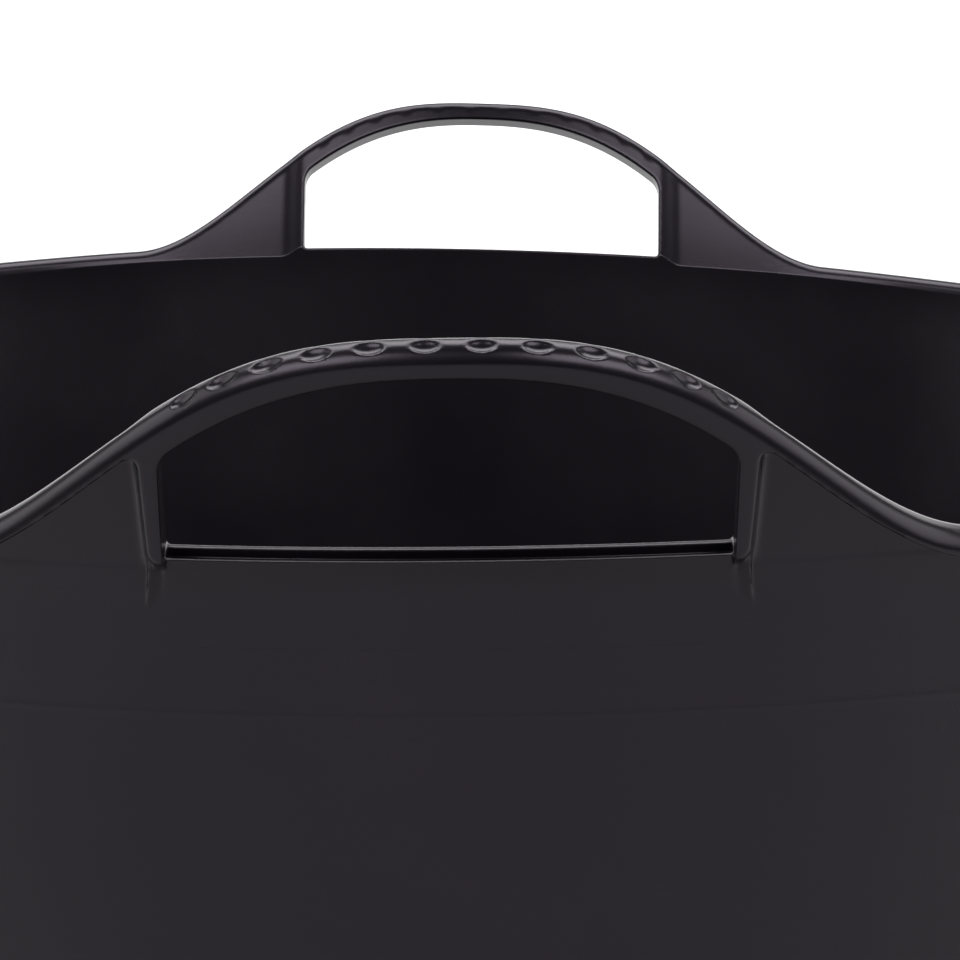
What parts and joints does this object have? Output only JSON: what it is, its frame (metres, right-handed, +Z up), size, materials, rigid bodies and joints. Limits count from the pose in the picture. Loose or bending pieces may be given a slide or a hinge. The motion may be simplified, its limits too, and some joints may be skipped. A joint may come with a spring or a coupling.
{
  "type": "mortar mixing tub",
  "caption": "Round flexible black mixing tub with tapered wall, beaded rim and two arched hand holds with scalloped grips, for mortar and rubble.",
  "frame": {"origin": "on the ground, at the middle of the tub's underside", "axes": "+Z up; the two handles stand at -Y (front) and +Y (rear)"},
  "size_m": [0.5582, 0.6028, 0.4324],
  "materials": {
    "black_flexible_plastic": "satin"
  },
  "bodies": {
    "tub": {"floor_disc": "black_flexible_plastic", "foot_ring": "black_flexible_plastic", "base_corner": "black_flexible_plastic", "side_wall": "black_flexible_plastic", "rim_bead_left": "black_flexible_plastic", "rim_bead_right": "black_flexible_plastic", "front_sill": "black_flexible_plastic", "front_gusset_left": "black_flexible_plastic", "front_gusset_right": "black_flexible_plastic", "front_foot_rib_left": "black_flexible_plastic", "front_foot_rib_right": "black_flexible_plastic", "rear_sill": "black_flexible_plastic", "rear_gusset_left": "black_flexible_plastic", "rear_gusset_right": "black_flexible_plastic", "rear_foot_rib_left": "black_flexible_plastic", "rear_foot_rib_right": "black_flexible_plastic"},
    "front_handle": {"front_grip": "black_flexible_plastic", "front_post_left": "black_flexible_plastic", "front_post_right": "black_flexible_plastic"},
    "rear_handle": {"rear_grip": "black_flexible_plastic", "rear_post_left": "black_flexible_plastic", "rear_post_right": "black_flexible_plastic"}
  },
  "joints": [
    {"name": "front_handle_flex", "type": "hinge", "parent": "tub", "child": "front_handle", "pos_m": [0, -0.26643, 0.382], "axis": [-0.9999, 0, -0.0169], "range_deg": [-10, 30], "stiffness_Nm_per_rad": 0.8},
    {"name": "rear_handle_flex", "type": "hinge", "parent": "tub", "child": "rear_handle", "pos_m": [0, 0.26643, 0.382], "axis": [0.9999, 0, -0.0169], "range_deg": [-10, 30], "stiffness_Nm_per_rad": 0.8}
  ]
}
